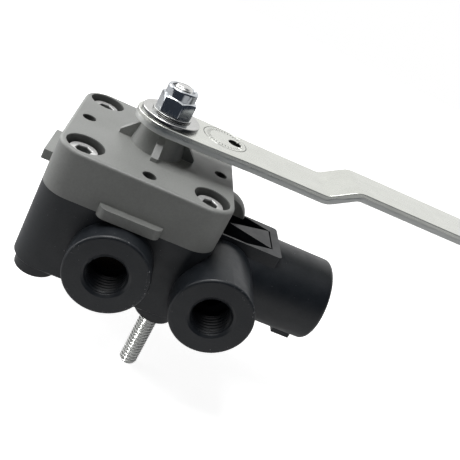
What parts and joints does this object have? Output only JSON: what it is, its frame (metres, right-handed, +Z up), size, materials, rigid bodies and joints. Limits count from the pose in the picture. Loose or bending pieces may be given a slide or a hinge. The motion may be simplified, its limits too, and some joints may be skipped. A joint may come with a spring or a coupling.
{
  "type": "leveling valve",
  "caption": "Air-suspension leveling valve: a cranked lever arm turns a shaft in a square two-part housing with threaded air ports, mounting studs and a side dump cylinder.",
  "frame": {"origin": "on the lever shaft's axis, in the plane of the four mounting feet under the housing", "axes": "+Z up along the lever shaft, +X to the right along the dump cylinder and the lever arm, +Y to the back, away from the two air ports"},
  "size_m": [0.2209, 0.0702, 0.092],
  "materials": {
    "grey_cap_plastic": "satin glass-filled moulding, light grey",
    "black_body_plastic": "satin glass-filled moulding, black",
    "black_plug_plastic": "satin black moulding",
    "zinc_screws": "bright zinc plate",
    "zinc_studs": "bright zinc plate",
    "zinc_arm": "clear zinc plate with sheared edges",
    "zinc_washers": "bright zinc plate",
    "zinc_nut": "bright zinc plate",
    "shaft_steel": "bright turned steel",
    "spring_steel": "dark spring steel",
    "brass_inserts": "turned brass",
    "bushing_bronze": "sintered bronze",
    "filter_bronze": "sintered bronze grains",
    "plunger_aluminium": "turned",
    "seal_rubber": "black nitrile rubber",
    "washer_plastic": "natural acetal",
    "nut_plastic": "natural nylon"
  },
  "bodies": {
    "housing": {"cap_housing": "grey_cap_plastic", "valve_body": "black_body_plastic", "cap_screws": "zinc_screws", "thread_inserts": "brass_inserts", "mounting_studs": "zinc_studs", "cap_seal": "seal_rubber", "shaft_bushing": "bushing_bronze", "shaft_seal": "seal_rubber", "thrust_washer": "washer_plastic", "bore_plug": "black_plug_plastic", "inlet_filter": "filter_bronze", "check_seat": "brass_inserts", "check_spring": "spring_steel", "dump_spring": "spring_steel", "dump_end_cap": "black_plug_plastic", "end_cap_seal": "seal_rubber", "retaining_ring": "spring_steel", "exhaust_flap": "seal_rubber", "flap_retainer": "black_plug_plastic"},
    "lever": {"lever_shaft": "shaft_steel", "lever_arm": "zinc_arm", "flat_washer": "zinc_washers", "small_washer": "zinc_washers", "lock_nut": "zinc_nut", "nut_insert": "nut_plastic"},
    "plunger_group": {"plunger": "plunger_aluminium", "plunger_seals": "seal_rubber"},
    "check_group": {"check_poppet": "seal_rubber"},
    "dump_group": {"dump_piston": "plunger_aluminium", "dump_piston_seal": "seal_rubber"}
  },
  "joints": [
    {"name": "lever_swing", "type": "hinge", "parent": "housing", "child": "lever", "pos_m": [0, 0, 0.0559], "axis": [0, 0, 1], "range_deg": [-45, 45]},
    {"name": "plunger_slide", "type": "slide", "parent": "housing", "child": "plunger_group", "axis": [1, 0, 0], "range_m": [-0.003, 0.003]},
    {"name": "check_slide", "type": "slide", "parent": "housing", "child": "check_group", "axis": [0, 1, 0], "range_m": [0, 0.002], "stiffness_N_per_m": 200, "springref_m": -0.002, "deforming": ["check_spring"]},
    {"name": "dump_slide", "type": "slide", "parent": "housing", "child": "dump_group", "axis": [-1, 0, 0], "range_m": [0, 0.0035], "stiffness_N_per_m": 1500, "springref_m": -0.003, "deforming": ["dump_spring"]}
  ],
  "couplings": [
    {"joint": "plunger_slide", "follows": "lever_swing", "m_per_rad": 0.00375}
  ]
}
